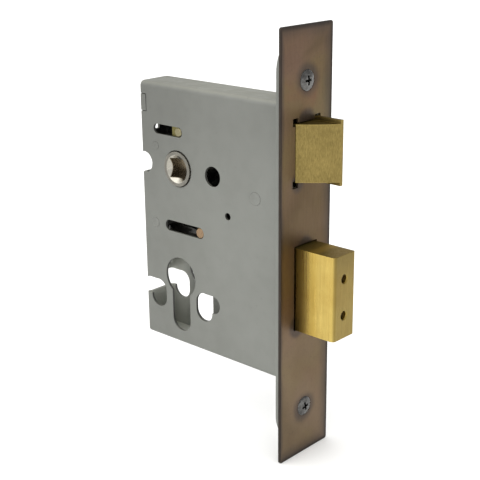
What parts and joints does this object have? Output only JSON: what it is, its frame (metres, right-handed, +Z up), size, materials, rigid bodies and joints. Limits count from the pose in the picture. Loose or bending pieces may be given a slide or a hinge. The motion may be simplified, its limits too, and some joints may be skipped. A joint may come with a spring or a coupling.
{
  "type": "mortise lock",
  "caption": "Mortise door lock with a long faceplate, bevelled spring latch, rectangular dead bolt, square spindle hub and a keyhole-shaped cylinder cutout in its flat case.",
  "frame": {"origin": "on the spindle axis, half way through the thickness of the case", "axes": "+X from the spindle towards the faceplate and the door's edge, +Y from the near side plate to the far one, +Z up along the faceplate"},
  "size_m": [0.1033, 0.0302, 0.1753],
  "materials": {
    "antique_brass": "antique bronze finish, mottled",
    "grey_paint": "thin satin grey coating",
    "screw_steel": "dull bronzed steel",
    "zinc_steel": "zinc plated",
    "latch_brass": "brushed brass, upright grain",
    "bolt_brass": "satin drawn brass",
    "dull_brass": "tarnished brass",
    "pin_brass": "turned brass",
    "pin_copper": "copper flashed",
    "zamak": "die-cast zinc alloy, dull nickel colour",
    "spring_steel": "bright drawn wire",
    "hard_steel": "hardened, dark"
  },
  "bodies": {
    "case": {"faceplate": "antique_brass", "inner_forend": "grey_paint", "faceplate_screws": "screw_steel", "case_body": "grey_paint", "case_cover": "grey_paint", "cover_screws": "zinc_steel", "post_front": "grey_paint", "post_rear": "grey_paint", "post_upper": "grey_paint", "latch_guide": "zinc_steel", "spring_seat": "zinc_steel", "seat_rivet": "zinc_steel", "latch_spring": "spring_steel", "hub_spring": "spring_steel", "detainer_spring": "spring_steel"},
    "latch": {"latch_head": "latch_brass", "latch_tail": "zinc_steel", "latch_rivet": "zinc_steel", "latch_crosshead": "dull_brass", "latch_pin": "pin_brass"},
    "hub": {"hub": "zamak", "hub_levers": "zinc_steel"},
    "deadbolt": {"deadbolt_head": "bolt_brass", "deadbolt_hard_pins": "hard_steel", "deadbolt_tail": "zinc_steel", "deadbolt_rivets": "zinc_steel", "deadbolt_pin": "pin_copper"},
    "detainer": {"detainer": "zinc_steel"}
  },
  "joints": [
    {"name": "latch_slide", "type": "slide", "parent": "case", "child": "latch", "axis": [-1, 0, 0], "range_m": [0, 0.0118], "stiffness_N_per_m": 300, "springref_m": -0.01, "deforming": ["latch_spring"]},
    {"name": "hub_turn", "type": "hinge", "parent": "case", "child": "hub", "pos_m": [0, 0, 0], "axis": [0, -1, 0], "range_deg": [0, 43], "stiffness_Nm_per_rad": 0.1, "springref_deg": -28.65, "deforming": ["hub_spring"]},
    {"name": "deadbolt_slide", "type": "slide", "parent": "case", "child": "deadbolt", "axis": [-1, 0, 0], "range_m": [0, 0.018]},
    {"name": "detainer_lift", "type": "hinge", "parent": "case", "child": "detainer", "pos_m": [-0.0145, 0, -0.026], "axis": [0, -1, 0], "range_deg": [0, 6], "stiffness_Nm_per_rad": 0.05, "springref_deg": -17.19, "deforming": ["detainer_spring"]}
  ],
  "couplings": [
    {"joint": "hub_turn", "follows": "latch_slide", "rad_per_m": 63.4}
  ]
}
